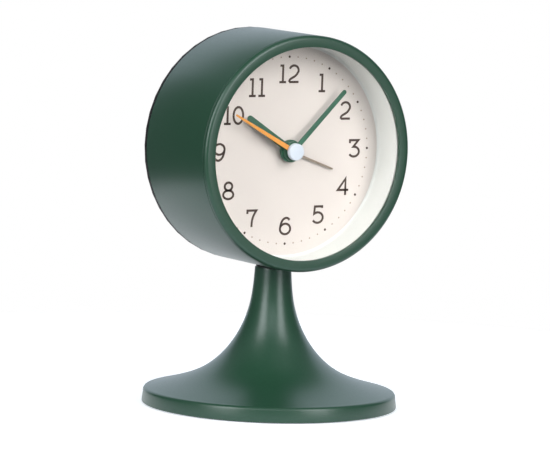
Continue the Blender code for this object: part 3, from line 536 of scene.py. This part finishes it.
NUMERAL_HEIGHT = 7.0             # along the middle of its strokes
STROKE = 1.0                     # width of a line of the print
DIGIT_SPACE = 0.19               # between two digits, in numeral heights
NUMERAL_RADIUS = 32.7
NUMERAL_INSETS = {3: -0.6, 5: 0.5, 6: 0.5, 7: -0.3, 9: -0.5, 10: 1.9, 11: 1.6, 12: 0.2}  # towards the middle
DOT_RADIUS = 39.75
HOUR_DOT_R = 0.55
MINUTE_DOT_R = 0.36
PRINT_HEIGHT = 0.04              # proud of the dial
PRINT_DEPTH = 0.05               # sunk into it
DIAL_TURN = -0.4                 # of the print, clockwise
DIAL_BORE_R = 3.0
SHARPEST_MITRE = 0.4             # cosine of half the turn past which a corner's point is cut short
SAME_POINT = 1e-6


def digit_strokes(digit):
    """(advance, strokes) of a digit whose height is 1: strokes are lists of (x, z). A 9 is a 6 turned over."""
    if digit == "0":
        return 0.66, [arc(0.33, 0.5, 0.33, 0.5, 0, 360, 36)]
    if digit == "1":
        return 0.46, [[(0.04, 1), (0.24, 1), (0.24, 0)], [(0.0, 0), (0.47, 0)]]
    if digit == "2":
        sweep = smoothed([(0.66, 0.62), (0.52, 0.42), (0.22, 0.24), (0.05, 0.09), (0.04, 0.0)], 5)
        return 0.70, [arc(0.36, 0.7, 0.32, 0.3, 160, -14) + sweep[1:], [(0.04, 0), (0.7, 0)]]
    if digit == "3":
        bowl = arc(0.34, 0.3, 0.36, 0.3, 98, -150)
        return 0.70, [[(0.04, 0.82), (0.04, 1), (0.64, 1), (0.29, 0.6)] + bowl[1:]]
    if digit == "4":
        return 0.76, [[(0.54, 0), (0.54, 1), (0.0, 0.31), (0.76, 0.31)]]
    if digit == "5":
        bowl = arc(0.33, 0.32, 0.37, 0.32, 132, -150)
        return 0.70, [[(0.64, 0.9), (0.64, 1), (0.12, 1)] + bowl]
    if digit == "6":
        stem = smoothed([(0.66, 0.86), (0.48, 0.99), (0.28, 0.95), (0.08, 0.7), (0.0, 0.34)], 5)
        return 0.72, [arc(0.36, 0.32, 0.36, 0.32, 0, 360, 30), stem]
    if digit == "7":
        leg = smoothed([(0.62, 1), (0.42, 0.66), (0.33, 0.34), (0.31, 0)], 5)
        return 0.64, [[(0.0, 0.8), (0.0, 1), (0.62, 1)] + leg[1:]]
    if digit == "8":
        return 0.70, [arc(0.35, 0.76, 0.26, 0.24, 0, 360, 30), arc(0.35, 0.26, 0.35, 0.26, 0, 360, 30)]
    advance, strokes = digit_strokes("6")
    return advance, [[(advance - x, 1 - z) for x, z in stroke] for stroke in strokes]


def numeral_strokes(number):
    """Strokes in millimetres of an upright number about its own middle."""
    strokes, pen = [], 0.0
    for digit in str(number):
        advance, shapes = digit_strokes(digit)
        strokes += [[(pen + x, z - 0.5) for x, z in shape] for shape in shapes]
        pen += advance + DIGIT_SPACE
    half = (pen - DIGIT_SPACE) / 2
    return [[((x - half) * NUMERAL_HEIGHT, z * NUMERAL_HEIGHT) for x, z in stroke] for stroke in strokes]


def add_ribbon(bm, points, shift):
    """A flat stroke of the print along (x, z) points, mitred at its corners."""
    closed = math.dist(points[0], points[-1]) < SAME_POINT
    if closed:
        points = points[:-1]
    runs = [Vector((q[0] - p[0], q[1] - p[1])).normalized() for p, q in zip(points, points[1:] + points[:1])]
    if not closed:
        runs[-1] = runs[-2]
    rings = []
    for i, (x, z) in enumerate(points):
        after = runs[i]
        before = runs[i - 1] if closed or i > 0 else after
        along = (before + after).normalized()
        reach = STROKE / 2 / max(SHARPEST_MITRE, along.dot(before))
        across = Vector((-along.y, along.x)) * reach
        corners = [(x + across.x, z + across.y), (x - across.x, z - across.y)]
        rings.append([bm.verts.new((shift[0] + u, depth, shift[1] + w))
                      for depth in (-PRINT_HEIGHT, PRINT_DEPTH) for u, w in corners])
    pairs = list(zip(rings, rings[1:]))
    if closed:
        pairs.append((rings[-1], rings[0]))
    for (a, b, c, d), (e, f, g, h) in pairs:
        bm.faces.new((a, b, f, e))
        bm.faces.new((a, e, g, c))
        bm.faces.new((b, d, h, f))
        bm.faces.new((c, g, h, d))
    if not closed:
        for a, b, c, d in (rings[0], rings[-1]):
            bm.faces.new((a, b, d, c))


def make_numerals(paints):
    """The twelve numbers, printed upright as flat strokes that stand just proud of the dial."""
    bm = bmesh.new()
    for number in range(1, 13):
        radius = NUMERAL_RADIUS - NUMERAL_INSETS.get(number, 0.0)
        for stroke in numeral_strokes(number):
            add_ribbon(bm, stroke, dial_point(radius, 30 * number + DIAL_TURN))
    numerals = new_piece("numerals", bm, paints["ink"], (0, DIAL_Y, AXIS_Z))
    stands_for(numerals, "case", "dial_paint")


def make_dots(name, minutes, radius, paint):
    """Round dots of the print, one at each of these minutes."""
    bm = bmesh.new()
    for minute in minutes:
        x, z = dial_point(DOT_RADIUS, 6 * minute + DIAL_TURN)
        place = Matrix.Translation((x, -PRINT_HEIGHT / 2, z)) @ Matrix.Rotation(math.radians(90), 4, "X")
        bmesh.ops.create_cone(bm, cap_ends=True, segments=16, radius1=radius, radius2=radius * 0.9,
                              depth=PRINT_HEIGHT, matrix=place)
    dots = new_piece(name, bm, paint, (0, DIAL_Y, AXIS_Z))
    stands_for(dots, "case", "dial_paint")


def make_dial(paints):
    """The dial's plate and its print."""
    low, high = box("dial")
    radius = (high.x - low.x) / 2
    profile = [(DIAL_BORE_R, low.y), (radius, low.y), (radius, high.y), (DIAL_BORE_R, high.y)]
    dial = new_piece("dial_plate", lathe(profile), paints["dial_paint"], CENTRE)
    stands_for(dial, "case", "dial_paint", "dial")
    make_numerals(paints)
    make_dots("hour_dots", range(0, 60, 5), HOUR_DOT_R, paints["ink"])
    make_dots("minute_dots", [m for m in range(60) if m % 5], MINUTE_DOT_R, paints["grey_ink"])


# -------------------------------------------------------------------- hands

HANDS = (
    # node, body, slot and look, angle, half width at the root and at the tip, length,
    # radius of the boss and of its bore, how far the sheet lies behind the boss's front
    ("alarm_hand", "alarm_group", "satin_metal", 110.4, 0.55, 0.4, 23.7, 3.7, 2.75, 0.05),
    ("hour_hand", "hour_group", "hand_paint", 304.5, 1.75, 1.35, 26.2, 4.8, 1.95, 0.1),
    ("minute_hand", "minute_group", "hand_paint", 44.5, 1.1, 0.95, 35.8, 4.1, 1.25, 0.1),
    ("second_hand", "second_group", "orange_paint", 299.0, 1.1, 0.45, 33.1, 2.2, 0.65, 0.05),
)
HAND_SHEET = 0.5                 # thickness of the hour and minute hands
THIN_SHEET = 0.3                 # and of the other two
BLADE_EDGE = 0.08
CAP_EDGE = 0.45
CAP_TAPER = (1.2, 0.15)          # of the cap's back edge, inwards and forwards


def hand_outline(root_half, tip_half, length, angle):
    """A tapered baton with a round end, turned to its dial angle."""
    tip = [dial_point(tip_half, a, (0.0, length - tip_half)) for a in range(-90, 91, 15)]
    outline = [(-root_half, 0.0)] + tip + [(root_half, 0.0)]
    return [dial_point(math.hypot(x, z), math.degrees(math.atan2(x, z)) + angle) for x, z in outline]


def make_hands(paints):
    """Pressed sheets that taper, each on a turned boss whose front stands a little proud of it."""
    for node, body, look, angle, root_half, tip_half, length, boss_r, bore, set_back in HANDS:
        low, high = box(node)
        front = low.y + set_back
        back = front + (HAND_SHEET if look == "hand_paint" else THIN_SHEET)
        outline = hand_outline(root_half, tip_half, length, angle)
        blade = new_piece(f"{node}_blade", prism(outline, front, back), paints[look], CENTRE)
        soften(blade, BLADE_EDGE)
        stands_for(blade, body, look, node)
        profile = [(bore, low.y)]
        profile += fillet((boss_r - EDGE, low.y + EDGE), EDGE, -90, 0, 4)
        profile += [(boss_r, high.y), (bore, high.y)]
        boss = new_piece(f"{node}_boss", lathe(profile, segments=SMALL), paints[look], CENTRE)
        stands_for(boss, body, look)
    make_cap(paints)


def make_cap(paints):
    """The white button in front of the hands."""
    low, high = box("second_cap")
    radius = (high.x - low.x) / 2
    profile = [(0, low.y)] + fillet((radius - CAP_EDGE, low.y + CAP_EDGE), CAP_EDGE, -90, 0, 6)
    profile += [(radius, high.y - CAP_TAPER[1]), (radius - CAP_TAPER[0], high.y), (0, high.y)]
    cap = new_piece("centre_cap", lathe(profile, segments=SMALL), paints["cap"], CENTRE)
    stands_for(cap, "second_group", "white_plastic", "second_cap")


# --------------------------------------------------------------------- back

BACK_LOOKS = {
    # node: look and the width of its rounded edges
    "back_cover": ("black", 0.15),
    "battery_door": ("black", 0.2),
    "alarm_switch": ("black_gloss", 0.2),
    "snooze_button": ("black_gloss", 0.4),
    "time_knob": ("black_gloss", 0.3),
    "alarm_knob": ("black_gloss", 0.3),
    "back_screw_1": ("steel", 0.1),
    "back_screw_2": ("steel", 0.1),
    "back_screw_3": ("steel", 0.1),
}


def dress_back(paints):
    """The pieces of the back keep their CAD shapes, with rounded edges."""
    for node, (look, edge) in BACK_LOOKS.items():
        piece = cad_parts[node]
        piece.data.materials.clear()
        piece.data.materials.append(paints[look])
        soften(piece, edge)


SPRING_TURNS = 4
SPRING_WIRE_R = 0.25
STEPS_PER_TURN = 24
WIRE_SIDES = 8


def coil(radius, length):
    """A bmesh of the spring's wire, wound round Y from 0 to length."""
    along = Vector((0, 1, 0))
    steps = SPRING_TURNS * STEPS_PER_TURN
    pitch = (length - 2 * SPRING_WIRE_R) / steps
    bm = bmesh.new()
    rings = []
    for step in range(steps + 1):
        a = math.tau * step / STEPS_PER_TURN
        outward = Vector((math.cos(a), 0, math.sin(a)))
        centre = outward * radius + along * (SPRING_WIRE_R + pitch * step)
        ring = []
        for side in range(WIRE_SIDES):
            b = math.tau * side / WIRE_SIDES
            ring.append(bm.verts.new(centre + (outward * math.cos(b) + along * math.sin(b)) * SPRING_WIRE_R))
        rings.append(ring)
    for ring, after in zip(rings, rings[1:]):
        for side in range(WIRE_SIDES):
            bm.faces.new((ring[side - 1], ring[side], after[side], after[side - 1]))
    bm.faces.new(rings[0])
    bm.faces.new(rings[-1])
    return bm


def make_spring(paints):
    """The snooze button's coil, wound to the size of the CAD spring."""
    low, high = box("snooze_spring")
    radius = (high.x - low.x) / 2
    middle = (low + high) / 2
    spring = new_piece("snooze_coil", coil(radius - SPRING_WIRE_R, high.y - low.y), paints["steel"],
                       (middle.x, low.y, middle.z))
    stands_for(spring, "case", "steel", "snooze_spring")
    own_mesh(spring)


def main():
    make_camera()
    make_world()
    make_lights()
    make_floor()
    paints = make_materials()
    dress_cad(paints)
    dress_back(paints)
    make_pedestal(paints)
    make_shell(paints)
    make_bezel(paints)
    make_glass(paints)
    make_inner_wall(paints)
    make_dial(paints)
    make_hands(paints)
    make_spring(paints)


main()
